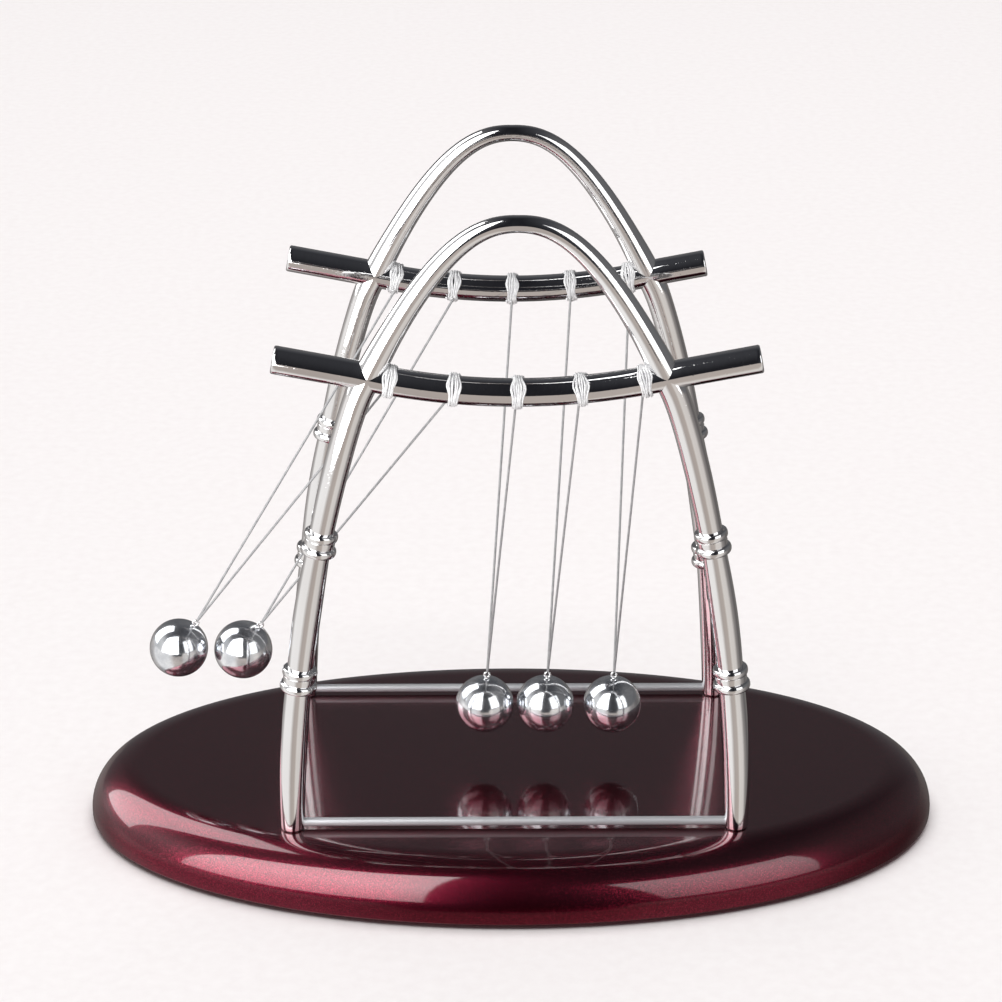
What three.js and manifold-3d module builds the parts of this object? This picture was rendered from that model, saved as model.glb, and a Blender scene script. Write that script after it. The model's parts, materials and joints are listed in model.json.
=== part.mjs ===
// Newton's cradle: five steel balls hung in a row between two chromed frames on an oval lacquered base.
// Millimetres, +Z up, X along the row of balls, Y from front to back. The origin is on the table,
// under the middle of the base. The balls are caught in mid-swing, two lifted and three near the middle.

import * as THREE from 'three';
import { mergeVertices } from 'three/addons/utils/BufferGeometryUtils.js';
import Module from 'manifold-3d';

const manifold = await Module();
manifold.setup();

// Base
const BASE_LENGTH = 220;
const BASE_DEPTH = 125;
const BASE_THICKNESS = 14;
const BASE_ROUND = { inward: 13, downward: 12 };
const PAD_THICKNESS = 1;
const PAD_DIAMETER = 14;
const PAD_X = 72;
const PAD_Y = 26;
const BASE_TOP = PAD_THICKNESS + BASE_THICKNESS;

// Frames: an arched rod with two bamboo rings on each leg, and a sagging crossbar cast into it.
// Heights are above the base's top, and ring and shoulder places are measured along the rod.
const FRAME_SPACING = 75;
const ARCH_HEIGHT = 158.3;
const FOOT_X = 55.6;
const SHOULDER = { x: 36.6, z: 118 };
const FOOT_RADIUS = 2.95;
const LEG_RADIUS = 3.4;
const NECK_RADIUS = [3.2, 3];
const SHOULDER_RADIUS = 3.1;
const APEX_RADIUS = 2.05;
const RING_AT = [38.7, 75.6];
const RING_HEIGHT = 6.1;
const SHOULDER_AT = 122;
const CROSSBAR_RADIUS = 3.4;
const CROSSBAR_END_X = 57.6;
const BACK_CROSSBAR_RIGHT_END_X = 50;
const CROSSBAR_MIDDLE_Z = 116.7;
const CROSSBAR_JOINT = { x: 38.5, z: 121.4 };
const CROSSBAR_END_Z = 125.1;
const ROD_SEGMENTS = 14;

// Rails between the feet of each frame
const RAIL_RADIUS = 1;
const RAIL_Z = 1.7;
const RAIL_SOCKET_DEPTH = 1.4;
const RAIL_INSERTED = 1.1;

// Screws from under the base into the legs
const SCREW = { shank: 1.5, head: 3.1, headHeight: 2.2, length: 18 };
const SCREW_CLEARANCE = 0.25;
const COUNTERBORE = { radius: 3.8, depth: 4 };

// Balls and their lines
const BALL_RADIUS = 7.5;
const BALL_PITCH = 15.1;
const BALL_HANGS_AT = 15.5;
const SWING_LEFT = [33.2, 33, 4.15, 3.75, 2.35];
const EYELET_RING_RADIUS = 0.68;
const EYELET_WIRE_RADIUS = 0.28;
const EYELET_STANDS = 8.35;
const EYELET_STEM = { radius: 0.5, depth: 2.6 };
const LINE_RADIUS = 0.27;
const LINE_LEAVES = { radius: 4.45, below: THREE.MathUtils.degToRad(30) };
const WRAP = { inner: 3.52, outer: 4.06, width: 3.6, gap: 0.15 };

const CHROME = { color: 0xd9dadd, roughness: 0.06, metalness: 1 };
const STEEL = { color: 0xcfd2d8, roughness: 0.04, metalness: 1 };
const ZINC = { color: 0xa9abad, roughness: 0.35, metalness: 1 };
const LACQUER = { color: 0x5a0f20, roughness: 0.08, metalness: 0.1 };
const NYLON = { color: 0xe9e7e2, roughness: 0.3, metalness: 0 };
const FELT = { color: 0x1c1b1c, roughness: 0.95, metalness: 0 };

const cradle = new THREE.Group();

function addPiece(name, geometry, finish, parent = cradle) {
  const mesh = new THREE.Mesh(geometry, new THREE.MeshStandardMaterial(finish));
  mesh.name = name;
  parent.add(mesh);
  return mesh;
}

// A closed geometry as a solid that can be cut and joined
function toSolid(geometry) {
  const bare = new THREE.BufferGeometry();
  bare.setAttribute('position', geometry.getAttribute('position').clone());
  if (geometry.index) bare.setIndex(geometry.index.clone());
  const merged = mergeVertices(bare, 1e-4);
  const corners = merged.index.array;
  const triangles = [];
  for (let i = 0; i < corners.length; i += 3) {
    const [a, b, c] = corners.slice(i, i + 3);
    if (a !== b && b !== c && c !== a) triangles.push(a, b, c);
  }
  const vertProperties = new Float32Array(merged.getAttribute('position').array);
  const triVerts = new Uint32Array(triangles);
  return new manifold.Manifold(new manifold.Mesh({ numProp: 3, vertProperties, triVerts }));
}

function toGeometry(solid) {
  const mesh = solid.getMesh();
  const geometry = new THREE.BufferGeometry();
  geometry.setAttribute('position', new THREE.BufferAttribute(mesh.vertProperties, 3));
  geometry.setIndex(new THREE.BufferAttribute(mesh.triVerts, 1));
  geometry.computeVertexNormals();
  return geometry;
}

// An upright round peg from z = low to z = high, used as a piece or as a hole
function peg(radius, x, y, low, high, segments = 20) {
  const geometry = new THREE.CylinderGeometry(radius, radius, high - low, segments);
  geometry.rotateX(Math.PI / 2);
  geometry.translate(x, y, (low + high) / 2);
  return toSolid(geometry);
}

// A body turned from a profile of (radius, height) points, standing on +Z
function turned(profile, segments) {
  const geometry = new THREE.LatheGeometry(profile, segments);
  geometry.rotateX(Math.PI / 2);
  return geometry;
}

// A rod whose radius changes along its length, bent along a curve in the XZ plane.
// The profile holds (radius, distance along the curve) points and starts and ends on the axis.
function bentRod(profile, curve, segments) {
  const rod = new THREE.LatheGeometry(profile, segments);
  const place = rod.getAttribute('position');
  const across = new THREE.Vector3(0, 1, 0);
  const length = curve.getLength();
  for (let i = 0; i < place.count; i += 1) {
    const u = THREE.MathUtils.clamp(place.getY(i) / length, 0, 1);
    const centre = curve.getPointAt(u);
    const outward = curve.getTangentAt(u).cross(across).normalize();
    centre.addScaledVector(outward, place.getX(i));
    centre.addScaledVector(across, place.getZ(i));
    place.setXYZ(i, centre.x, centre.y, centre.z);
  }
  return rod;
}

const at = (x, z) => new THREE.Vector3(x, 0, z);
const point = (radius, height) => new THREE.Vector2(radius, height);

// ---- Base ----

function makeBase() {
  const flat = new THREE.Shape();
  const halfLength = BASE_LENGTH / 2 - BASE_ROUND.inward;
  const halfDepth = BASE_DEPTH / 2 - BASE_ROUND.inward;
  flat.absellipse(0, 0, halfLength, halfDepth, 0, 2 * Math.PI);
  const slab = new THREE.ExtrudeGeometry(flat, {
    depth: BASE_THICKNESS,
    curveSegments: 26,
    bevelSize: BASE_ROUND.inward,
    bevelThickness: BASE_ROUND.downward,
    bevelSegments: 7,
  });
  slab.translate(0, 0, BASE_TOP - BASE_THICKNESS - BASE_ROUND.downward);
  const below = new THREE.BoxGeometry(2 * BASE_LENGTH, 2 * BASE_LENGTH, BASE_LENGTH);
  below.translate(0, 0, PAD_THICKNESS - BASE_LENGTH / 2);
  let base = toSolid(slab).subtract(toSolid(below));
  for (const [x, y] of legPlaces) {
    const mouth = PAD_THICKNESS + COUNTERBORE.depth;
    base = base.subtract(peg(COUNTERBORE.radius, x, y, 0, mouth));
    base = base.subtract(peg(SCREW.shank + SCREW_CLEARANCE, x, y, 0, BASE_TOP + 1));
  }
  addPiece('base', toGeometry(base), LACQUER);
}

function makePad(name, x, y) {
  const radius = PAD_DIAMETER / 2;
  const chamfer = 0.3;
  const profile = [
    point(0, 0),
    point(radius - chamfer, 0),
    point(radius, chamfer),
    point(radius, PAD_THICKNESS),
    point(0, PAD_THICKNESS),
  ];
  addPiece(name, turned(profile, 18), FELT).position.set(x, y, 0);
}

function makeScrew(name, x, y) {
  const seat = PAD_THICKNESS + COUNTERBORE.depth;
  const { shank, head, headHeight, length } = SCREW;
  const profile = [
    point(0, seat - headHeight),
    point(head * 0.7, seat - headHeight),
    point(head, seat - headHeight * 0.55),
    point(head, seat),
    point(shank, seat),
    point(shank, seat + length - shank),
    point(shank * 0.4, seat + length),
    point(0, seat + length),
  ];
  let screw = toSolid(turned(profile, 16));
  const slot = new THREE.BoxGeometry(head * 1.1, 0.8, headHeight);
  slot.translate(0, 0, seat - headHeight);
  const crossed = slot.clone().rotateZ(Math.PI / 2);
  screw = screw.subtract(toSolid(slot)).subtract(toSolid(crossed));
  addPiece(name, toGeometry(screw), ZINC).position.set(x, y, 0);
}

// ---- Frames ----

// From the left foot up over the apex and down to the right foot
function makeArchCurve() {
  const curve = new THREE.CurvePath();
  const half = [
    [at(FOOT_X, 0), at(FOOT_X, 54), at(41, 109.3), at(SHOULDER.x, SHOULDER.z)],
    [at(SHOULDER.x, SHOULDER.z), at(18.4, 155.4), at(8, ARCH_HEIGHT), at(0, ARCH_HEIGHT)],
  ];
  const mirrored = half.map((four) => four.map((p) => at(-p.x, p.z)));
  for (const four of mirrored) curve.add(new THREE.CubicBezierCurve3(...four));
  for (const four of half.reverse()) curve.add(new THREE.CubicBezierCurve3(...four.reverse()));
  for (const stretch of curve.curves) stretch.arcLengthDivisions = 400;
  return curve;
}

// Between two rings the rod swells a little, as bamboo does
function internode(from, to, startRadius, midRadius, endRadius, steps) {
  const points = [];
  for (let i = 1; i < steps; i += 1) {
    const t = i / steps;
    const straight = THREE.MathUtils.lerp(startRadius, endRadius, t);
    const swell = midRadius - (startRadius + endRadius) / 2;
    points.push(point(straight + swell * Math.sin(Math.PI * t), THREE.MathUtils.lerp(from, to, t)));
  }
  return points;
}

// Two slim beads with a plain band between them: how far each point stands out from the neck, and
// how far along the rod it is
function bambooRing(from, neckRadius) {
  const outline = [
    [0, 0],
    [1.1, 0.25],
    [1.4, 1.1],
    [1.1, 1.95],
    [0.7, 2.3],
    [0.7, 3.95],
    [0.95, 4.25],
    [1.15, 5],
    [0.95, 5.75],
    [0, RING_HEIGHT],
  ];
  return outline.map(([standsOut, along]) => point(neckRadius + standsOut, from + along));
}

function archProfile(length) {
  const [lower, upper] = RING_AT;
  const [lowerNeck, upperNeck] = NECK_RADIUS;
  const middle = length / 2;
  const footRound = 0.6;
  const half = [point(0, 0), point(FOOT_RADIUS - footRound, 0), point(FOOT_RADIUS, footRound)];
  half.push(...internode(footRound, lower, FOOT_RADIUS, LEG_RADIUS, lowerNeck, 5));
  half.push(...bambooRing(lower, lowerNeck));
  half.push(...internode(lower + RING_HEIGHT, upper, lowerNeck, LEG_RADIUS, upperNeck, 4));
  half.push(...bambooRing(upper, upperNeck));
  half.push(...internode(upper + RING_HEIGHT, SHOULDER_AT, upperNeck, 3.2, SHOULDER_RADIUS, 6));
  const taperSteps = 10;
  for (let i = 0; i < taperSteps; i += 1) {
    const t = i / taperSteps;
    const fall = 1 - Math.cos((Math.PI / 2) * t);
    const radius = THREE.MathUtils.lerp(SHOULDER_RADIUS, APEX_RADIUS, 0.35 * t + 0.65 * fall);
    half.push(point(radius, THREE.MathUtils.lerp(SHOULDER_AT, middle, t)));
  }
  const otherHalf = half.map((p) => point(p.x, length - p.y)).reverse();
  return [...half, point(APEX_RADIUS, middle), ...otherHalf];
}

// The bar sags between the arch's legs and runs straight on outside them
function makeCrossbarCurve(rightEndX) {
  const { x, z } = CROSSBAR_JOINT;
  const lowest = 2 * CROSSBAR_MIDDLE_Z - z;
  const rise = (CROSSBAR_END_Z - z) / (CROSSBAR_END_X - x);
  const curve = new THREE.CurvePath();
  curve.add(new THREE.LineCurve3(at(-CROSSBAR_END_X, CROSSBAR_END_Z), at(-x, z)));
  curve.add(new THREE.QuadraticBezierCurve3(at(-x, z), at(0, lowest), at(x, z)));
  curve.add(new THREE.LineCurve3(at(x, z), at(rightEndX, z + rise * (rightEndX - x))));
  return curve;
}

function crossbarProfile(length) {
  const radius = CROSSBAR_RADIUS;
  const chamfer = 0.5;
  const points = [point(0, 0), point(radius - chamfer, 0)];
  const steps = 12;
  for (let i = 0; i <= steps; i += 1) {
    points.push(point(radius, THREE.MathUtils.lerp(chamfer, length - chamfer, i / steps)));
  }
  return [...points, point(radius - chamfer, length), point(0, length)];
}

const crossbarZ = (x) =>
  CROSSBAR_MIDDLE_Z + (CROSSBAR_JOINT.z - CROSSBAR_MIDDLE_Z) * (x / CROSSBAR_JOINT.x) ** 2;
const crossbarSlope = (x) =>
  (2 * (CROSSBAR_JOINT.z - CROSSBAR_MIDDLE_Z) * x) / CROSSBAR_JOINT.x ** 2;

function makeFrame(name, y, rightEndX) {
  const archCurve = makeArchCurve();
  const barCurve = makeCrossbarCurve(rightEndX);
  const arch = toSolid(bentRod(archProfile(archCurve.getLength()), archCurve, ROD_SEGMENTS));
  const bar = toSolid(bentRod(crossbarProfile(barCurve.getLength()), barCurve, ROD_SEGMENTS));
  let frame = arch.add(bar);
  const holeRadius = SCREW.shank + SCREW_CLEARANCE;
  const holeTop = PAD_THICKNESS + COUNTERBORE.depth + SCREW.length - BASE_TOP + 0.5;
  const socketRadius = RAIL_RADIUS + 0.2;
  for (const side of [-1, 1]) {
    frame = frame.subtract(peg(holeRadius, side * FOOT_X, 0, -1, holeTop, 16));
    const socket = new THREE.CylinderGeometry(socketRadius, socketRadius, FOOT_RADIUS * 2, 12);
    socket.rotateZ(Math.PI / 2);
    const socketEnd = FOOT_X - FOOT_RADIUS + RAIL_SOCKET_DEPTH;
    socket.translate(side * (socketEnd - FOOT_RADIUS), 0, RAIL_Z);
    frame = frame.subtract(toSolid(socket));
  }
  addPiece(name, toGeometry(frame), CHROME).position.set(0, y, BASE_TOP);
}

function makeRail(name, y) {
  const length = 2 * (FOOT_X - FOOT_RADIUS + RAIL_INSERTED);
  const rail = new THREE.CylinderGeometry(RAIL_RADIUS, RAIL_RADIUS, length, 12);
  rail.rotateZ(Math.PI / 2);
  addPiece(name, rail, CHROME).position.set(0, y, BASE_TOP + RAIL_Z);
}

// The arched rod with a skin all round, to cut back what would touch it
function makeSwollenArch(skin) {
  const curve = makeArchCurve();
  const profile = archProfile(curve.getLength());
  const swollen = profile.map((p) => point(p.x > 0 ? p.x + skin : 0, p.y));
  return toSolid(bentRod(swollen, curve, ROD_SEGMENTS));
}

// A collar of line wound round the crossbar at x, square to the bar there.
// The outermost collars press against the arch, which dents them.
function makeWrap(name, x, y) {
  const { inner, outer, width } = WRAP;
  const half = width / 2;
  const profile = [
    point(inner, -half),
    point(outer, -half),
    point(outer, half),
    point(inner, half),
    point(inner, -half),
  ];
  const collar = new THREE.LatheGeometry(profile, 18);
  collar.rotateZ(-Math.PI / 2);
  collar.rotateY(-Math.atan(crossbarSlope(x)));
  collar.translate(x, 0, crossbarZ(x));
  const wrap = toSolid(collar).subtract(swollenArch);
  addPiece(name, toGeometry(wrap), NYLON).position.set(0, y, BASE_TOP);
}

// ---- Balls ----

// Built about the ball's centre, with the line's eye above it on +Z
function makeBall() {
  const sphere = new THREE.SphereGeometry(BALL_RADIUS, 20, 12);
  sphere.rotateX(Math.PI / 2);
  const holeBottom = BALL_RADIUS - EYELET_STEM.depth - 0.4;
  const hole = peg(EYELET_STEM.radius + 0.2, 0, 0, holeBottom, BALL_RADIUS + 1, 12);
  return toGeometry(toSolid(sphere).subtract(hole));
}

function makeEyelet() {
  const ring = new THREE.TorusGeometry(EYELET_RING_RADIUS, EYELET_WIRE_RADIUS, 6, 14);
  ring.rotateX(Math.PI / 2);
  ring.translate(0, 0, EYELET_STANDS);
  const top = EYELET_STANDS - EYELET_RING_RADIUS;
  const stem = peg(EYELET_STEM.radius, 0, 0, BALL_RADIUS - EYELET_STEM.depth, top, 10);
  return toGeometry(toSolid(ring).add(stem));
}

// The line runs from the front bar down through the eyelet and up to the back bar.
// Here z = 0 is the level where it leaves the bars, and eye is how far down the eyelet is.
function makeLine(halfWidth, eye) {
  const turn = 0.9;
  const rise = (turn * eye) / halfWidth;
  const lift = 0.05;
  const bottom = at(0, lift - eye - rise / 2);
  const left = at(-turn, lift - eye + rise / 2);
  const right = at(turn, lift - eye + rise / 2);
  const path = new THREE.CurvePath();
  path.add(new THREE.LineCurve3(at(-halfWidth, 0), left));
  path.add(new THREE.QuadraticBezierCurve3(left, bottom, right));
  path.add(new THREE.LineCurve3(right, at(halfWidth, 0)));
  const [straight, bend, whole] = path.getCurveLengths();
  const profile = [point(0, 0), point(LINE_RADIUS, 0)];
  const steps = 8;
  for (let i = 0; i <= steps; i += 1) {
    profile.push(point(LINE_RADIUS, THREE.MathUtils.lerp(straight, bend, i / steps)));
  }
  profile.push(point(LINE_RADIUS, whole), point(0, whole));
  return bentRod(profile, path, 8).rotateZ(Math.PI / 2);
}

// ---- Assembly ----

const frameY = FRAME_SPACING / 2;
const legPlaces = [
  [-FOOT_X, -frameY],
  [FOOT_X, -frameY],
  [-FOOT_X, frameY],
  [FOOT_X, frameY],
];
const corners = ['front_left', 'front_right', 'back_left', 'back_right'];

makeBase();
corners.forEach((corner, i) => {
  const [x, y] = legPlaces[i];
  makeScrew(`${corner}_screw`, x, y);
  makePad(`${corner}_pad`, Math.sign(x) * PAD_X, Math.sign(y) * PAD_Y);
});
makeFrame('front_frame', -frameY, CROSSBAR_END_X);
makeFrame('back_frame', frameY, BACK_CROSSBAR_RIGHT_END_X);
makeRail('front_rail', -frameY);
makeRail('back_rail', frameY);

const swollenArch = makeSwollenArch(WRAP.gap);
const ball = makeBall();
const eyelet = makeEyelet();
SWING_LEFT.forEach((swing, i) => {
  const number = i + 1;
  const x = (i - 2) * BALL_PITCH;
  makeWrap(`front_line_wrap_${number}`, x, -frameY);
  makeWrap(`back_line_wrap_${number}`, x, frameY);

  const pivotZ = crossbarZ(x) - LINE_LEAVES.radius * Math.sin(LINE_LEAVES.below);
  const pivotY = frameY - LINE_LEAVES.radius * Math.cos(LINE_LEAVES.below);
  const pendulum = new THREE.Group();
  pendulum.position.set(x, 0, BASE_TOP + pivotZ);
  pendulum.rotation.y = THREE.MathUtils.degToRad(swing);
  cradle.add(pendulum);

  const hang = pivotZ - BALL_HANGS_AT;
  addPiece(`ball_${number}`, ball, STEEL, pendulum).position.z = -hang;
  addPiece(`eyelet_${number}`, eyelet, CHROME, pendulum).position.z = -hang;
  addPiece(`line_${number}`, makeLine(pivotY, hang - EYELET_STANDS), NYLON, pendulum);
});

export default cradle;
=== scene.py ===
import json
import math
from bisect import bisect_right

import bmesh
import bpy
from mathutils import Matrix, Vector, noise


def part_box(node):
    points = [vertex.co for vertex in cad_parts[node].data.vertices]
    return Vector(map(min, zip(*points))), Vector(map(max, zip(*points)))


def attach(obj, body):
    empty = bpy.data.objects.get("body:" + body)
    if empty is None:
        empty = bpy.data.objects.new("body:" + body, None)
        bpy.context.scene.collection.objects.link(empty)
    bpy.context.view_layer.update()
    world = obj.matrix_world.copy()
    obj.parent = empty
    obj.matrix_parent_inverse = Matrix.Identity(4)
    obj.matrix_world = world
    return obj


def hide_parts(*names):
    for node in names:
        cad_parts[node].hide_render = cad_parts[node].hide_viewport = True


# Newton's cradle: five steel balls hung between two chromed frames on an oval lacquered base, with two
# of them lifted to the left. Each CAD node is replaced by a finer piece in its place, on its own body.

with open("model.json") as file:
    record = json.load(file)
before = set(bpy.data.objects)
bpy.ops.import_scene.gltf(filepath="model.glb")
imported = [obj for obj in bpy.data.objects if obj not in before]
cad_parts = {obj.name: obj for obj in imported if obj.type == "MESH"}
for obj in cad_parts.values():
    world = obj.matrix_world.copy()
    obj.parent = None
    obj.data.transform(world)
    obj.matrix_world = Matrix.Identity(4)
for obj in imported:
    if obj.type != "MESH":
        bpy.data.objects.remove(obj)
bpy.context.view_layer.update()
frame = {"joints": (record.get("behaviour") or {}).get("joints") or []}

# Shapes are worked out in millimetres, in the CAD frame, and closed_mesh() turns them into metres
MM = 0.001

# A ring of points narrower than this is one point on the axis
ON_AXIS = 1e-6

# Edges sharper than this many degrees are shaded sharp
CREASE = 35

# The base
BASE_ROUND_INWARD = 13
BASE_ROUND_DOWNWARD = 12
UNDERSIDE_ROUND = 0.9
COUNTERBORE_RADIUS = 3.8
COUNTERBORE_DEPTH = 4
SCREW_HEAD_RADIUS = 3.1
SCREW_HEAD_HEIGHT = 2.2
SCREW_SHANK_RADIUS = 1.5
SCREW_LENGTH = 18

# The frames, seen from the front with the feet at height 0. RING_AT, SHOULDER_AT and CROSSING_AT are
# distances along the rod from its foot.
ARCH_HEIGHT = 158.3
FOOT_X = 55.6
SHOULDER = (36.6, 118)
FOOT_RADIUS = 2.95
FOOT_ROUND = 0.6
LEG_RADIUS = 3.4
UPPER_RADIUS = 3.2
NECK_RADIUS = (3.2, 3.0)
SHOULDER_RADIUS = 3.1
APEX_RADIUS = 2.05
RING_AT = (38.7, 75.6)
RING_HEIGHT = 6.1
SHOULDER_AT = 122
CROSSING_AT = SHOULDER_AT + 2
CROSSING_SWELL = 0.3
CROSSING_REACH = 9
CROSSBAR_RADIUS = 3.4
CROSSBAR_END = (57.6, 125.1)
CROSSBAR_JOINT = (38.5, 121.4)
BACK_CROSSBAR_RIGHT_END_X = 50
CROSSBAR_MIDDLE_Z = 116.7
RAIL_RADIUS = 1.08

# The balls, their eyelets and lines
BALL_RADIUS = 7.5
BALL_HOLE_RADIUS = 0.56
BALL_HOLE_BOTTOM = 5
EYELET_STANDS = 8.35
EYELET_RING_RADIUS = 0.68
EYELET_WIRE_RADIUS = 0.28
EYELET_STEM_RADIUS = 0.5
EYELET_STEM_BOTTOM = 5.4
LINE_RADIUS = 0.3
WRAP_LINE_RADIUS = 0.21
LINE_LEAVES_RADIUS = 4.45
LINE_LEAVES_ANGLE = math.radians(120)
LINE_CREASE = 80

FRONT, BACK = -1, 1


def middle_of(node):
    low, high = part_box(node)
    return (low + high) / 2 / MM


base_low, base_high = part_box("base")
BASE_BOTTOM = base_low.z / MM
BASE_TOP = base_high.z / MM
BASE_HALF_LENGTH = base_high.x / MM
BASE_HALF_DEPTH = base_high.y / MM
FRAME_Y = middle_of("back_rail").y


# ---- Materials ----

class Nodes:
    """Short calls for building one material's nodes"""

    def __init__(self, name):
        self.material = bpy.data.materials.new(name)
        self.material.use_nodes = True
        self.tree = self.material.node_tree
        self.shader = self.tree.nodes["Principled BSDF"]
        self.place = self.tree.nodes.new("ShaderNodeTexCoord").outputs["Object"]

    @classmethod
    def of_tree(cls, tree):
        made = cls.__new__(cls)
        made.tree = tree
        return made

    def add(self, kind, settings=None, **inputs):
        made = self.tree.nodes.new(kind)
        for key, value in (settings or {}).items():
            setattr(made, key, value)
        for key, value in inputs.items():
            self.give(made, key.replace("_", " "), value)
        return made

    def give(self, target, key, value):
        socket = target.inputs[key]
        if isinstance(value, bpy.types.NodeSocket):
            self.tree.links.new(value, socket)
        else:
            socket.default_value = value

    def shade(self, **inputs):
        for key, value in inputs.items():
            self.give(self.shader, key.replace("_", " "), value)
        return self.material

    def math(self, operation, first, second):
        made = self.add("ShaderNodeMath", {"operation": operation})
        self.give(made, 0, first)
        self.give(made, 1, second)
        return made.outputs["Value"]

    def noise(self, scale, detail=3.0, vector=None):
        made = self.add("ShaderNodeTexNoise", Vector=vector or self.place, Scale=scale, Detail=detail)
        return made.outputs["Fac"]

    def stretched(self, x, y, z):
        made = self.add("ShaderNodeMapping", Vector=self.place, Scale=(x, y, z))
        return made.outputs["Vector"]

    def ramp(self, factor, *stops):
        made = self.add("ShaderNodeValToRGB", Fac=factor)
        while len(made.color_ramp.elements) < len(stops):
            made.color_ramp.elements.new(0.5)
        for element, (position, colour) in zip(made.color_ramp.elements, stops):
            element.position = position
            element.color = (*colour, 1)
        return made.outputs["Color"]

    def between(self, factor, low, high):
        made = self.add("ShaderNodeMapRange", Value=factor, To_Min=low, To_Max=high)
        return made.outputs["Result"]

    def bump(self, height, distance, strength=1.0):
        made = self.add("ShaderNodeBump", Height=height, Distance=distance, Strength=strength)
        return made.outputs["Normal"]


def chrome_material():
    """Bright plate over a casting: a faint ripple, small pits, and a film that varies the gloss"""
    n = Nodes("chrome_plate")
    film = n.noise(90, 4)
    tint = n.ramp(n.noise(35, 2), (0.3, (0.80, 0.79, 0.79)), (0.7, (0.88, 0.88, 0.89)))
    ripple = n.noise(230, 2)
    pits = n.add("ShaderNodeMapRange", Value=n.noise(1300, 2), From_Min=0.6, From_Max=0.72)
    surface = n.math("ADD", ripple, n.math("MULTIPLY", pits.outputs["Result"], -0.15))
    return n.shade(
        Base_Color=tint,
        Metallic=1.0,
        Roughness=n.between(film, 0.015, 0.07),
        Normal=n.bump(surface, 0.00006, 0.5),
    )


def steel_material():
    """Tumbled steel: a soft gloss with cloudy patches and fine polishing marks"""
    n = Nodes("polished_steel")
    marks = n.noise(1.0, 2, n.stretched(420, 420, 2600))
    clouds = n.noise(260, 5)
    tint = n.ramp(clouds, (0.35, (0.66, 0.68, 0.72)), (0.65, (0.92, 0.93, 0.95)))
    worn = n.math("ADD", n.between(clouds, 0.08, 0.17), n.between(marks, -0.02, 0.04))
    return n.shade(
        Base_Color=tint,
        Metallic=n.between(clouds, 1.0, 0.93),
        Roughness=worn,
        Normal=n.bump(n.math("ADD", marks, n.math("MULTIPLY", clouds, 6.0)), 0.000004, 0.6),
    )


def rail_material():
    """Drawn rod with a satin finish, its marks running along it"""
    n = Nodes("satin_rod")
    drawn = n.noise(1.0, 3, n.stretched(60, 2400, 2400))
    tint = n.ramp(drawn, (0.3, (0.54, 0.54, 0.56)), (0.7, (0.66, 0.66, 0.68)))
    return n.shade(
        Base_Color=tint,
        Metallic=0.5,
        Roughness=n.between(drawn, 0.28, 0.42),
        Normal=n.bump(drawn, 0.00001, 0.4),
    )


def lacquer_material():
    """Deep red metallic paint, with flakes tilted each its own way, under a clear coat"""
    n = Nodes("red_flake_lacquer")
    flakes = n.add("ShaderNodeTexVoronoi", Vector=n.place, Scale=7500.0)
    facing = n.add("ShaderNodeNewGeometry").outputs["Normal"]
    centred = n.add("ShaderNodeVectorMath", {"operation": "SUBTRACT"})
    n.give(centred, 0, flakes.outputs["Color"])
    n.give(centred, 1, (0.5, 0.5, 0.5))
    tilt = n.add("ShaderNodeVectorMath", {"operation": "SCALE"}, Scale=0.075)
    n.give(tilt, 0, centred.outputs["Vector"])
    tilted = n.add("ShaderNodeVectorMath", {"operation": "ADD"})
    n.give(tilted, 0, facing)
    n.give(tilted, 1, tilt.outputs["Vector"])
    normal = n.add("ShaderNodeVectorMath", {"operation": "NORMALIZE"})
    n.give(normal, 0, tilted.outputs["Vector"])
    flake_value = n.add("ShaderNodeSeparateColor", Color=flakes.outputs["Color"]).outputs["Red"]
    colour = n.ramp(
        flake_value,
        (0.0, (0.065, 0.003, 0.010)),
        (0.6, (0.13, 0.006, 0.020)),
        (0.93, (0.23, 0.014, 0.038)),
        (1.0, (0.30, 0.035, 0.065)),
    )
    # The clear coat's weight falls from full at a height of 10 mm to 0.15 at 5 mm: painted shade that
    # dims the reflections low on the side, next to the table.
    height = n.add("ShaderNodeSeparateXYZ", Vector=n.place).outputs["Z"]
    coat = n.add("ShaderNodeMapRange", Value=height, From_Min=0.005, From_Max=0.010, To_Min=0.15)
    peel = n.bump(n.noise(420, 1), 0.00001, 0.25)
    return n.shade(
        Base_Color=colour,
        Metallic=1.0,
        Roughness=0.26,
        Normal=normal.outputs["Vector"],
        Coat_Weight=coat.outputs["Result"],
        Coat_Roughness=0.06,
        Coat_IOR=1.75,
        Coat_Normal=peel,
    )


def nylon_material(name, dull, light, clearness):
    """Monofilament, cloudy where it is drawn tight"""
    n = Nodes(name)
    cloud = n.noise(900, 3)
    return n.shade(
        Base_Color=n.ramp(cloud, (0.3, dull), (0.7, light)),
        Roughness=n.between(cloud, 0.3, 0.5),
        IOR=1.53,
        Transmission_Weight=clearness,
        Normal=n.bump(n.noise(2600, 2), 0.00002, 0.5),
    )


def zinc_material():
    """Dull plated screw steel"""
    n = Nodes("zinc_plate")
    spangle = n.noise(900, 3)
    tint = n.ramp(spangle, (0.3, (0.42, 0.42, 0.43)), (0.7, (0.62, 0.62, 0.60)))
    return n.shade(
        Base_Color=tint,
        Metallic=1.0,
        Roughness=n.between(spangle, 0.28, 0.45),
        Normal=n.bump(spangle, 0.00002, 0.4),
    )


def felt_material():
    """Black felt with a nap that catches the light"""
    n = Nodes("black_felt")
    fibres = n.noise(2200, 5)
    tint = n.ramp(fibres, (0.35, (0.012, 0.012, 0.013)), (0.7, (0.06, 0.058, 0.06)))
    return n.shade(
        Base_Color=tint,
        Roughness=0.95,
        Sheen_Weight=0.6,
        Sheen_Roughness=0.5,
        Normal=n.bump(fibres, 0.0002, 0.9),
    )


# ---- Mesh helpers ----

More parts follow.
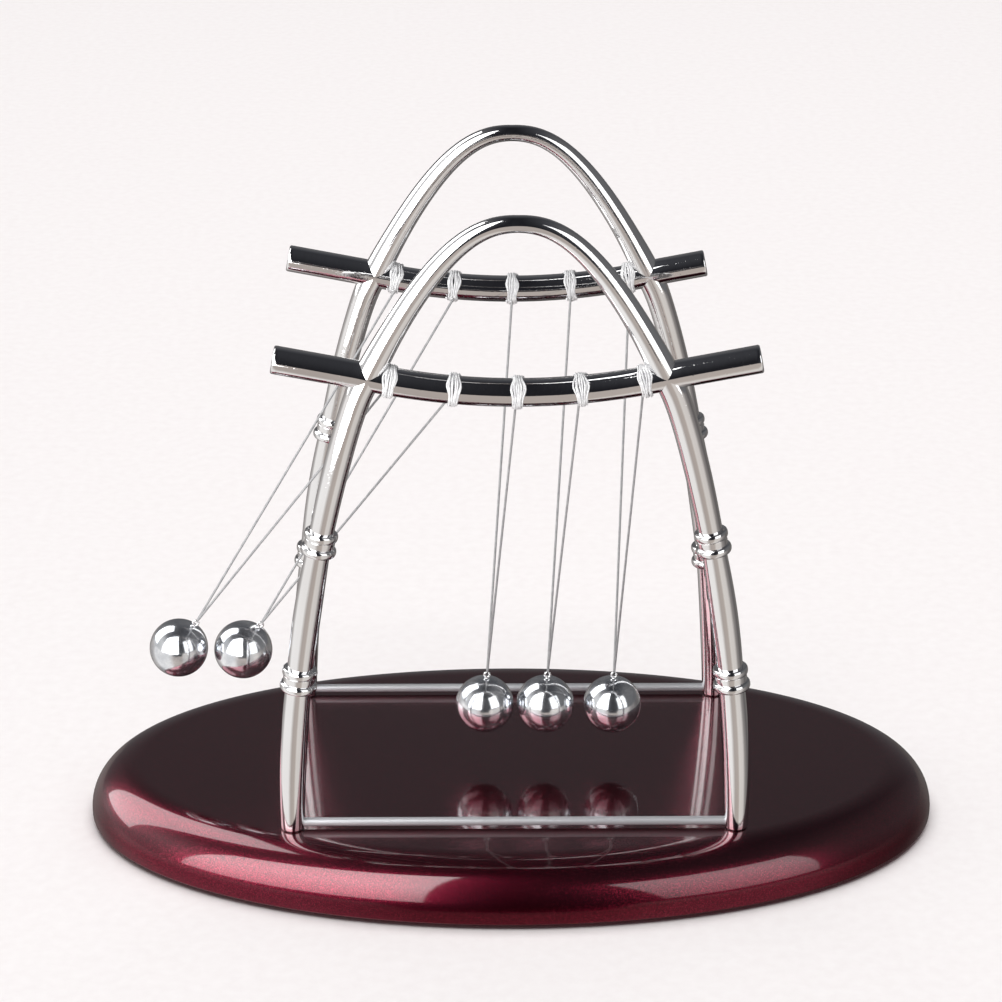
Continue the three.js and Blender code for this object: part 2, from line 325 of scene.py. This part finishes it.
def skin(rings):
    """Points and faces of a surface stretched over rings of points. A ring of one point is a pole."""
    points, faces, rows = [], [], []
    for ring in rings:
        rows.append(range(len(points), len(points) + len(ring)))
        points.extend(ring)
    for lower, upper in zip(rows, rows[1:]):
        count = max(len(lower), len(upper))
        for i in range(count):
            j = (i + 1) % count
            corners = [lower[i % len(lower)], lower[j % len(lower)]]
            corners += [upper[j % len(upper)], upper[i % len(upper)]]
            faces.append(list(dict.fromkeys(corners)))
    for row in (rows[0], rows[-1]):
        if len(row) > 1:
            faces.append(list(row))
    return points, faces


def joined(*parts):
    """Several (points, faces) as one"""
    points, faces = [], []
    for more_points, more_faces in parts:
        start = len(points)
        points.extend(more_points)
        faces.extend([start + i for i in face] for face in more_faces)
    return points, faces


def turned(profile, segments=64):
    """A body turned about Z from (radius, height) points"""
    rings = []
    for radius, height in profile:
        angles = [2 * math.pi * i / segments for i in range(segments)] if radius > ON_AXIS else [0]
        rings.append([Vector((radius * math.cos(a), radius * math.sin(a), height)) for a in angles])
    return skin(rings)


def moved(shape, matrix):
    points, faces = shape
    return [matrix @ p for p in points], faces


def across_flat(where):
    """A move in the plane of the table, to the place where a node's middle is"""
    return Matrix.Translation((where.x, where.y, 0))


def block(half_x, half_y, half_z):
    rings = []
    for z in (-half_z, half_z):
        corners = ((-half_x, -half_y), (half_x, -half_y), (half_x, half_y), (-half_x, half_y))
        rings.append([Vector((x, y, z)) for x, y in corners])
    return skin(rings)


class Path:
    """A line through close points, walked by distance"""

    def __init__(self, points):
        self.points = points
        self.reach = [0.0]
        for a, b in zip(points, points[1:]):
            self.reach.append(self.reach[-1] + (b - a).length)
        self.length = self.reach[-1]
        last = len(points) - 1
        self.tangents = [
            (points[min(i + 1, last)] - points[max(i - 1, 0)]).normalized() for i in range(last + 1)
        ]

    def at(self, distance):
        i = min(max(bisect_right(self.reach, distance) - 1, 0), len(self.points) - 2)
        step = self.reach[i + 1] - self.reach[i]
        t = (distance - self.reach[i]) / step
        place = self.points[i].lerp(self.points[i + 1], t)
        return place, self.tangents[i].lerp(self.tangents[i + 1], min(max(t, 0), 1)).normalized()


def bent_rod(profile, path, segments=48):
    """A rod of (radius, distance) points, bent along a path in the XZ plane"""
    across = Vector((0, 1, 0))
    rings = []
    for radius, distance in profile:
        centre, tangent = path.at(distance)
        outward = tangent.cross(across)
        ring = []
        for i in range(segments if radius > ON_AXIS else 1):
            a = 2 * math.pi * i / segments
            ring.append(centre + outward * radius * math.cos(a) + across * radius * math.sin(a))
        rings.append(ring)
    return skin(rings)


def tube(points, radius, sides=10):
    """A round line of one thickness through points in space"""
    path = Path(points)
    side = path.tangents[0].orthogonal().normalized()
    rings = []
    for place, tangent in zip(points, path.tangents):
        side = (side - tangent * side.dot(tangent)).normalized()
        up = tangent.cross(side)
        ring = []
        for i in range(sides):
            a = 2 * math.pi * i / sides
            ring.append(place + (side * math.cos(a) + up * math.sin(a)) * radius)
        rings.append(ring)
    return skin(rings)


def arc(centre, radius, start, end, steps):
    """(x, z) points on a circle, with angles in degrees from +X towards +Z"""
    for i in range(steps + 1):
        a = math.radians(start + (end - start) * i / steps)
        yield (centre[0] + radius * math.cos(a), centre[1] + radius * math.sin(a))


def bezier(controls, steps):
    """Points on a Bezier curve of any degree, without the last one"""
    points = []
    for i in range(steps):
        row = [Vector((x, 0, z)) for x, z in controls]
        while len(row) > 1:
            row = [a.lerp(b, i / steps) for a, b in zip(row, row[1:])]
        points.append(row[0])
    return points


def closed_mesh(name, shape):
    """A mesh in metres from (points, faces) in millimetres, with its faces turned outwards"""
    mesh = bpy.data.meshes.new(name)
    points, faces = shape
    mesh.from_pydata([p * MM for p in points], [], faces)
    editable = bmesh.new()
    editable.from_mesh(mesh)
    bmesh.ops.recalc_face_normals(editable, faces=editable.faces)
    editable.to_mesh(mesh)
    editable.free()
    return mesh


def add_object(name, data):
    made = bpy.data.objects.new(name, data)
    bpy.context.scene.collection.objects.link(made)
    return made


def add_piece(name, shape, material, body, crease=CREASE):
    """A piece in the shape of (points, faces) in millimetres, which rides on its body"""
    mesh = closed_mesh(name, shape)
    mesh.shade_smooth()
    mesh.set_sharp_from_angle(angle=math.radians(crease))
    mesh.materials.append(material)
    piece = add_object(name, mesh)
    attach(piece, body)
    return piece


def cut(piece, shape):
    """Cuts a closed shape in millimetres out of a piece"""
    cutter = add_object("cutter", closed_mesh("cutter", shape))
    modifier = piece.modifiers.new("cut", "BOOLEAN")
    modifier.operation = "DIFFERENCE"
    modifier.solver = "EXACT"
    modifier.object = cutter
    evaluated = piece.evaluated_get(bpy.context.evaluated_depsgraph_get())
    piece.data = bpy.data.meshes.new_from_object(evaluated)
    piece.modifiers.clear()
    bpy.data.objects.remove(cutter)
    piece.data.set_sharp_from_angle(angle=math.radians(CREASE))


# ---- Base ----

def make_base(material):
    half_length = BASE_HALF_LENGTH - BASE_ROUND_INWARD
    half_depth = BASE_HALF_DEPTH - BASE_ROUND_INWARD
    # Points are (outward from the edge of the flat top, height). The first three keep the top flat.
    profile = [(-BASE_ROUND_INWARD, BASE_TOP), (-1.5, BASE_TOP), (-0.4, BASE_TOP)]
    steps = 32
    for i in range(steps + 1):
        a = math.pi / 2 * i / steps
        drop = BASE_ROUND_DOWNWARD * (1 - math.cos(a))
        profile.append((BASE_ROUND_INWARD * math.sin(a), BASE_TOP - drop))
    corner = (BASE_ROUND_INWARD - UNDERSIDE_ROUND, BASE_BOTTOM + UNDERSIDE_ROUND)
    profile.extend(arc(corner, UNDERSIDE_ROUND, 0, -90, 8))
    profile.append((corner[0] - 2, BASE_BOTTOM))
    rings = []
    segments = 288
    for outward, height in profile:
        ring = []
        for i in range(segments):
            a = 2 * math.pi * i / segments
            x, y = half_length * math.cos(a), half_depth * math.sin(a)
            normal = Vector((half_depth * math.cos(a), half_length * math.sin(a))).normalized()
            ring.append(Vector((x + normal.x * outward, y + normal.y * outward, height)))
        rings.append(ring)
    base = add_piece("plinth", skin(rings), material, "stand")
    for x in (-FOOT_X, FOOT_X):
        for y in (-FRAME_Y, FRAME_Y):
            mouth = BASE_BOTTOM + COUNTERBORE_DEPTH
            outline = [(0, 0), (COUNTERBORE_RADIUS, 0), (COUNTERBORE_RADIUS, mouth), (0, mouth)]
            hole = turned(outline, 48)
            cut(base, moved(hole, Matrix.Translation((x, y, 0))))
    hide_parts("base")


def make_screw(name, material):
    """A screw with its head down: a coned head with a cross cut into it, and a pointed shank"""
    where = middle_of(name)
    seat = BASE_BOTTOM + COUNTERBORE_DEPTH
    head_end = seat - SCREW_HEAD_HEIGHT
    face_share, cone_share = 0.55, 0.55
    profile = [
        (0, head_end),
        (face_share * SCREW_HEAD_RADIUS, head_end),
        (SCREW_HEAD_RADIUS, head_end + cone_share * SCREW_HEAD_HEIGHT),
        (SCREW_HEAD_RADIUS, seat),
        (SCREW_SHANK_RADIUS, seat),
        (SCREW_SHANK_RADIUS, seat + SCREW_LENGTH - SCREW_SHANK_RADIUS),
        (0, seat + SCREW_LENGTH),
    ]
    shape = moved(turned(profile, 48), across_flat(where))
    screw = add_piece(f"{name}_fine", shape, material, "stand")
    blade = block(SCREW_HEAD_RADIUS * 0.62, 0.36, 0.95)
    for angle in (45, 135):
        place = Matrix.Translation((where.x, where.y, head_end))
        cut(screw, moved(blade, place @ Matrix.Rotation(math.radians(angle), 4, "Z")))
    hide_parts(name)


def make_pad(name, material):
    low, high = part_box(name)
    radius = (high.y - low.y) / 2 / MM
    thickness = (high.z - low.z) / MM
    edge = 0.3
    profile = [(0, 0), (radius - 2 * edge, 0), *arc((radius - edge, edge), edge, -90, 0, 4)]
    profile.extend([(radius, thickness), (0, thickness)])
    shape = moved(turned(profile), across_flat(middle_of(name)))
    pad = add_piece(f"{name}_felt", shape, material, "stand")
    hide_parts(name)


# ---- Frames ----

def make_arch_path():
    """From the left foot up over the apex and down to the right foot"""
    x, z = SHOULDER
    leg = [(FOOT_X, 0), (FOOT_X, 54), (41, 109.3), (x, z)]
    crown = [(x, z), (18.4, 155.4), (8, ARCH_HEIGHT), (0, ARCH_HEIGHT)]
    steps = 300
    rise = bezier(leg, steps) + bezier(crown, steps)
    rise.append(Vector((0, 0, ARCH_HEIGHT)))
    left = [Vector((-p.x, 0, p.z)) for p in rise]
    return Path(left + rise[-2::-1])


def internode(start, end, first, middle, last, steps):
    """The slight swell of a bamboo rod between two rings"""
    points = []
    for i in range(1, steps):
        t = i / steps
        swell = (middle - (first + last) / 2) * math.sin(math.pi * t)
        points.append((first + (last - first) * t + swell, start + (end - start) * t))
    return points


def bead(start, width, foot, height):
    """A bead round the rod, a little fuller than a half circle, as (radius, along) points"""
    points = []
    steps = 16
    for i in range(steps + 1):
        a = math.radians(-90 + 180 * i / steps)
        radius = foot + height * max(math.cos(a), 0) ** 0.75
        points.append((radius, start + width / 2 * (1 + math.sin(a))))
    return points


def bamboo_ring(start, neck):
    """Two slim beads with a plain band between them, and a fine groove along each side of the band"""
    groove = neck + 0.55
    lower_width, upper_width = 2.2, 2.0
    edge = 0.05
    lower = bead(start + edge, lower_width, groove, 0.85)
    band = [(neck + out, start + along) for out, along in ((0.68, 2.35), (0.74, 3.1), (0.68, 3.9))]
    upper = bead(start + RING_HEIGHT - edge - upper_width, upper_width, groove, 0.6)
    return [(neck, start), *lower, *band, *upper, (neck, start + RING_HEIGHT)]


def arch_profile(length):
    """(radius, along) points of the whole rod, its two halves alike"""
    lower, upper = RING_AT
    lower_neck, upper_neck = NECK_RADIUS
    half = [(0, 0), *arc((FOOT_RADIUS - FOOT_ROUND, FOOT_ROUND), FOOT_ROUND, -90, 0, 6)]
    half += internode(FOOT_ROUND, lower, FOOT_RADIUS, LEG_RADIUS, lower_neck, 40)
    half += bamboo_ring(lower, lower_neck)
    half += internode(lower + RING_HEIGHT, upper, lower_neck, LEG_RADIUS, upper_neck, 34)
    half += bamboo_ring(upper, upper_neck)
    half += internode(upper + RING_HEIGHT, SHOULDER_AT, upper_neck, UPPER_RADIUS, SHOULDER_RADIUS, 40)
    steps = 60
    for i in range(steps + 1):
        t = i / steps
        fall = 0.35 * t + 0.65 * (1 - math.cos(math.pi / 2 * t))
        radius = SHOULDER_RADIUS + (APEX_RADIUS - SHOULDER_RADIUS) * fall
        half.append((radius, SHOULDER_AT + (length / 2 - SHOULDER_AT) * t))
    half = [(radius + crossing_swell(along), along) for radius, along in half]
    other_half = [(radius, length - along) for radius, along in half[-2::-1]]
    return half + other_half


def crossing_swell(along):
    """The rod is a little thicker where it is cast into the crossbar"""
    return CROSSING_SWELL * math.exp(-(((along - CROSSING_AT) / CROSSING_REACH) ** 2))


def crossbar_z(x):
    """The height of the sagging part of the crossbar"""
    rise = CROSSBAR_JOINT[1] - CROSSBAR_MIDDLE_Z
    return CROSSBAR_MIDDLE_Z + rise * (x / CROSSBAR_JOINT[0]) ** 2


def crossbar_slope(x):
    return 2 * (CROSSBAR_JOINT[1] - CROSSBAR_MIDDLE_Z) * x / CROSSBAR_JOINT[0] ** 2


def make_crossbar_path(right_end):
    """The bar sags between the arch's legs and runs straight on outside them"""
    joint_x, joint_z = CROSSBAR_JOINT
    end_x, end_z = CROSSBAR_END
    slope = (end_z - joint_z) / (end_x - joint_x)
    points = bezier([(-end_x, end_z), (-joint_x, joint_z)], 40)
    steps = 200
    for i in range(steps + 1):
        x = joint_x * (2 * i / steps - 1)
        points.append(Vector((x, 0, crossbar_z(x))))
    steps = 40
    for i in range(1, steps + 1):
        x = joint_x + (right_end - joint_x) * i / steps
        points.append(Vector((x, 0, joint_z + slope * (x - joint_x))))
    return Path(points)


def crossbar_profile(length):
    edge = 0.5
    radius = CROSSBAR_RADIUS
    first = [(0, 0), *arc((radius - edge, edge), edge, -90, 0, 5)]
    steps = 150
    span = length - 2 * edge
    along = [(radius, edge + span * i / steps) for i in range(1, steps)]
    last = [(r, length - a) for r, a in reversed(first)]
    return first + along + last


def make_frame(node, side, right_end, material):
    arch_path = make_arch_path()
    bar_path = make_crossbar_path(right_end)
    arch = bent_rod(arch_profile(arch_path.length), arch_path)
    bar = bent_rod(crossbar_profile(bar_path.length), bar_path)
    shape = moved(joined(arch, bar), Matrix.Translation((0, side * FRAME_Y, BASE_TOP)))
    piece = add_piece(f"{node}_casting", shape, material, "stand")
    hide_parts(node)


def make_rail(node, material):
    low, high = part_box(node)
    centre = middle_of(node)
    half = (high.x - low.x) / 2 / MM
    steps = 40
    along = [(RAIL_RADIUS, -half + 2 * half * i / steps) for i in range(steps + 1)]
    profile = [(0, -half), *along, (0, half)]
    lying = Matrix.Translation(centre) @ Matrix.Rotation(math.pi / 2, 4, "Y")
    rail = add_piece(f"{node}_rod", moved(turned(profile, 32), lying), material, "stand")
    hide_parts(node)


# ---- Lines and balls ----

def make_wrap(number, side, x, pivot, material):
    """Turns of line round the crossbar, spread widest a little way down from its top on both sides,
    which end where the line hangs from"""
    tangent = Vector((1, 0, crossbar_slope(x))).normalized()
    up = tangent.cross(Vector((0, 1, 0)))
    inward = Vector((0, -side, 0))
    centre = Vector((x, side * FRAME_Y, BASE_TOP + crossbar_z(x)))
    points = []
    layer = CROSSBAR_RADIUS + WRAP_LINE_RADIUS
    # For each layer: turns, where along the bar it starts and ends, and how many line radii it is raised
    layers = ((7, -1.2, 1.2, 0.0), (5, 1.35, -0.9, 1.2))
    steps = 26
    # The turns spread widest this many radians down from the top of the bar
    widest_at = 0.95
    angle = LINE_LEAVES_ANGLE
    for count, start, end, raised in layers:
        for i in range(count * steps):
            t = i / (count * steps)
            angle += 2 * math.pi / steps
            from_top = math.acos(math.cos(angle))
            fan = 0.85 + 0.7 * math.exp(-(((from_top - widest_at) / 0.5) ** 2))
            wander = noise.noise(Vector((angle * 0.7, number * 3.1, side * 5.3)))
            along = (start + (end - start) * t) * fan + 0.45 * wander
            ease = min(1, t * 4) if raised else 0
            radius = layer + raised * WRAP_LINE_RADIUS * ease + 0.06 * (1 + wander)
            around = up * math.cos(angle) + inward * math.sin(angle)
            points.append(centre + tangent * along + around * radius)
    points.append(pivot)
    loose_end = points[0] + (points[0] - points[1]).normalized() * 1.1 - (up + tangent) * 0.3
    points.insert(0, loose_end)
    name = f"{'front' if side == FRONT else 'back'}_line_wrap_{number}"
    shape = tube(points, WRAP_LINE_RADIUS, 8)
    wrap = add_piece(f"{name}_turns", shape, material, "stand", LINE_CREASE)
    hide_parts(name)


def make_ball(number, place, material):
    """A polished ball with the small countersunk hole that its eyelet is pressed into"""
    hole = BALL_HOLE_RADIUS
    countersink = 0.12
    mouth = math.degrees(math.asin((hole + countersink) / BALL_RADIUS))
    outside = list(arc((0, 0), BALL_RADIUS, -90, 90 - mouth, 72))
    profile = [(0, -BALL_RADIUS), *outside[1:], (hole, BALL_RADIUS - 0.15)]
    profile.extend([(hole, BALL_HOLE_BOTTOM), (0, BALL_HOLE_BOTTOM)])
    shape = moved(turned(profile, 96), place)
    ball = add_piece(f"steel_ball_{number}", shape, material, f"pendulum_{number}")
    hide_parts(f"ball_{number}")


def make_eyelet(number, place, material):
    """A wire ring on a short stem with a small collar where it meets the ball"""
    across = Vector((0, 1, 0))
    around, sides = 48, 14
    rings = []
    for i in range(around):
        a = 2 * math.pi * i / around
        outward = Vector((math.cos(a), 0, math.sin(a)))
        centre = outward * EYELET_RING_RADIUS + Vector((0, 0, EYELET_STANDS))
        ring = []
        for j in range(sides):
            b = 2 * math.pi * j / sides
            spoke = outward * math.cos(b) + across * math.sin(b)
            ring.append(centre + spoke * EYELET_WIRE_RADIUS)
        rings.append(ring)
    # The wire ends where it starts, so skin()'s two end faces are left out
    points, faces = skin(rings + [rings[0]])
    wire = (points, faces[:-2])
    top = EYELET_STANDS - EYELET_RING_RADIUS
    stem = turned([
        (0, EYELET_STEM_BOTTOM),
        (EYELET_STEM_RADIUS, EYELET_STEM_BOTTOM),
        (EYELET_STEM_RADIUS, 7.4),
        (0.45, 7.6),
        (0.34, top),
        (0, top),
    ], 24)
    shape = moved(joined(wire, stem), place)
    eyelet = add_piece(f"eyelet_ring_{number}", shape, material, f"pendulum_{number}", 50)
    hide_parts(f"eyelet_{number}")


def make_line(number, pendulum, hang, half_width, material):
    """One line in a V, from the front bar through the eyelet to the back bar"""
    low = EYELET_STANDS - hang + EYELET_RING_RADIUS - EYELET_WIRE_RADIUS - LINE_RADIUS
    bend = 0.8
    slope = -low / half_width
    points = []
    steps = 40
    for i in range(steps):
        y = -half_width + (half_width - bend) * i / steps
        points.append(Vector((0, y, slope * (abs(y) - half_width))))
    bend_steps = 12
    for i in range(bend_steps + 1):
        y = bend * (2 * i / bend_steps - 1)
        points.append(Vector((0, y, low + slope * (y * y / bend + bend) / 2)))
    points.extend([Vector((0, -p.y, p.z)) for p in points[steps - 1 :: -1]])
    shape = moved(tube(points, LINE_RADIUS), pendulum)
    body = f"pendulum_{number}"
    line = add_piece(f"line_{number}_nylon", shape, material, body, LINE_CREASE)
    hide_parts(f"line_{number}")


# ---- Studio ----

def make_camera():
    """Stands where the balls are seen from the front, a little left of the middle and from above"""
    place = Vector((-14.2, -714.1, 375.8 + BASE_TOP)) * MM
    down, right_turn, roll = math.radians(22.98), math.radians(0.89), math.radians(0.22)
    level = Vector((math.sin(right_turn), math.cos(right_turn), 0))
    forward = level * math.cos(down) - Vector((0, 0, math.sin(down)))
    right = forward.cross(Vector((0, 0, 1))).normalized()
    up = right.cross(forward)
    rolled = right * math.cos(roll) + up * math.sin(roll)
    upright = up * math.cos(roll) - right * math.sin(roll)
    camera = add_object("camera", bpy.data.cameras.new("camera"))
    camera.data.lens = 110.2
    camera.data.clip_start = 0.01
    turn = Matrix((rolled, upright, -forward)).transposed().to_4x4()
    camera.matrix_world = Matrix.Translation(place) @ turn
    bpy.context.scene.camera = camera


def make_softbox(name, place, target, width, height, power):
    """An area light, its size and place in metres"""
    light = bpy.data.lights.new(name, "AREA")
    light.shape = "RECTANGLE"
    light.size = width
    light.size_y = height
    light.energy = power
    box = add_object(name, light)
    box.location = place
    box.rotation_euler = (Vector(target) - Vector(place)).to_track_quat("-Z", "Y").to_euler()
    box.visible_camera = False
    return box


def make_floor():
    """Plain pale paper, which the metal doesn't mirror"""
    reach = 6
    corners = [(-reach, -reach, 0), (reach, -reach, 0), (reach, reach, 0), (-reach, reach, 0)]
    mesh = bpy.data.meshes.new("floor")
    mesh.from_pydata(corners, [], [(0, 1, 2, 3)])
    floor = add_object("floor", mesh)
    n = Nodes("floor_paper")
    grain = n.noise(300, 4)
    tint = n.ramp(grain, (0.3, (0.83, 0.79, 0.785)), (0.7, (0.86, 0.825, 0.82)))
    mesh.materials.append(n.shade(Base_Color=tint, Roughness=0.8))
    floor.visible_glossy = False
    return floor


def make_studio():
    """Three softboxes light the object alone, and one light high above lights the floor alone"""
    floor = make_floor()
    make_surroundings()
    boxes = (
        make_softbox("left_softbox", (-0.346, -0.269, 0.385), (-0.346, 0, 0.385), 0.55, 0.69, 4.6),
        make_softbox("side_softbox", (-0.42, 0.225, 0.42), (0, 0.225, 0.19), 0.35, 0.66, 2.1),
        make_softbox("right_softbox", (0.52, -0.567, 0.40), (0.02, 0.033, 0.10), 0.55, 0.70, 1.9),
    )
    shaded = bpy.data.collections.new("shaded_from_softboxes")
    shaded.objects.link(floor)
    for box in boxes:
        box.light_linking.receiver_collection = shaded
    shaded.collection_objects[0].light_linking.link_state = "EXCLUDE"
    floor_light = make_softbox("floor_light", (0, 0.2, 4.0), (0, 0.2, 0), 4.8, 4.8, 240)
    lit = bpy.data.collections.new("lit_by_floor_light")
    lit.objects.link(floor)
    floor_light.light_linking.receiver_collection = lit
    bpy.context.scene.view_settings.view_transform = "Standard"


def make_surroundings():
    """What polished metal mirrors. Above the horizon is a dark room, lighter on its left. Below it is a
    beige table, bright where the softboxes light it and dark on the far right."""
    world = bpy.data.worlds.new("surroundings")
    bpy.context.scene.world = world
    world.use_nodes = True
    n = Nodes.of_tree(world.node_tree)
    direction = n.tree.nodes.new("ShaderNodeTexCoord").outputs["Generated"]
    axes = n.add("ShaderNodeSeparateXYZ", Vector=direction)
    towards_camera = n.math("MULTIPLY", axes.outputs["Y"], -1.0)
    round_about = n.math("ARCTAN2", axes.outputs["X"], towards_camera)
    share = n.add("ShaderNodeMapRange", Value=round_about, From_Min=-math.pi, From_Max=math.pi)
    # Places round the table, as shares of a turn: 0.25 is left, 0.5 the camera's side, 0.75 right
    table = n.ramp(
        share.outputs["Result"],
        (0.00, (0.06, 0.055, 0.055)),
        (0.08, (0.30, 0.28, 0.27)),
        (0.18, (0.50, 0.48, 0.47)),
        (0.23, (0.95, 0.93, 0.91)),
        (0.40, (0.92, 0.90, 0.88)),
        (0.46, (0.46, 0.41, 0.38)),
        (0.54, (0.50, 0.44, 0.40)),
        (0.57, (0.74, 0.70, 0.66)),
        (0.66, (0.70, 0.66, 0.63)),
        (0.71, (0.30, 0.28, 0.27)),
        (0.80, (0.13, 0.12, 0.12)),
        (0.90, (0.20, 0.19, 0.18)),
        (1.00, (0.06, 0.055, 0.055)),
    )
    sideways = n.math("ABSOLUTE", axes.outputs["X"], 0.0)
    behind = n.math("MULTIPLY", axes.outputs["Y"], 0.45)
    leftward = n.math("MULTIPLY", axes.outputs["X"], -1.0)
    rightward = n.math("MULTIPLY", axes.outputs["X"], 0.6)
    room = n.ramp(
        n.math("MAXIMUM", n.math("MAXIMUM", leftward, rightward), behind),
        (0.00, (0.014, 0.014, 0.017)),
        (0.25, (0.060, 0.062, 0.070)),
        (0.42, (0.125, 0.125, 0.13)),
        (0.60, (0.15, 0.15, 0.155)),
        (0.85, (0.62, 0.62, 0.62)),
    )
    # The table's edge lies lower straight ahead and behind, where the dark room shows under the horizon
    drop = n.add(
        "ShaderNodeMapRange", Value=sideways, From_Min=0.25, From_Max=0.35, To_Min=0.2, To_Max=0.0
    )
    height = n.math("ADD", axes.outputs["Z"], drop.outputs["Result"])
    above = n.add("ShaderNodeMapRange", Value=height, From_Min=-0.02, From_Max=0.02)
    seen = n.add("ShaderNodeMix", {"data_type": "RGBA"}, Factor=above.outputs["Result"])
    colour_a, colour_b, mixed = seen.inputs[6], seen.inputs[7], seen.outputs[2]
    n.tree.links.new(table, colour_a)
    n.tree.links.new(room, colour_b)
    n.tree.links.new(mixed, n.tree.nodes["Background"].inputs["Color"])


# ---- Everything in place ----

make_camera()
make_studio()
chrome = chrome_material()
steel = steel_material()
line_nylon = nylon_material("nylon_line", (0.30, 0.30, 0.31), (0.42, 0.42, 0.42), 0.15)
wrap_nylon = nylon_material("nylon_wrap", (0.74, 0.74, 0.75), (1.0, 1.0, 1.0), 0.22)
zinc = zinc_material()
felt = felt_material()
satin = rail_material()

make_base(lacquer_material())
for corner in ("front_left", "front_right", "back_left", "back_right"):
    make_screw(f"{corner}_screw", zinc)
    make_pad(f"{corner}_pad", felt)
make_frame("front_frame", FRONT, CROSSBAR_END[0], chrome)
make_frame("back_frame", BACK, BACK_CROSSBAR_RIGHT_END_X, chrome)
for end in ("front", "back"):
    make_rail(f"{end}_rail", satin)

# Each ball hangs from its joint, named ball_1_swing and so on
half_width = FRAME_Y - LINE_LEAVES_RADIUS * math.sin(LINE_LEAVES_ANGLE)
for joint in frame["joints"]:
    number = int(joint["name"].split("_")[1])
    pivot = Vector(joint["pos_m"]) / MM
    ball_to_pivot = pivot - middle_of(f"ball_{number}")
    hang = math.hypot(ball_to_pivot.x, ball_to_pivot.z)
    swing = Matrix.Rotation(math.atan2(ball_to_pivot.x, ball_to_pivot.z), 4, "Y")
    pendulum = Matrix.Translation(pivot) @ swing
    ball_place = pendulum @ Matrix.Translation((0, 0, -hang))
    make_ball(number, ball_place, steel)
    make_eyelet(number, ball_place, chrome)
    make_line(number, pendulum, hang, half_width, line_nylon)
    for side in (FRONT, BACK):
        make_wrap(number, side, pivot.x, pivot + Vector((0, side * half_width, 0)), wrap_nylon)
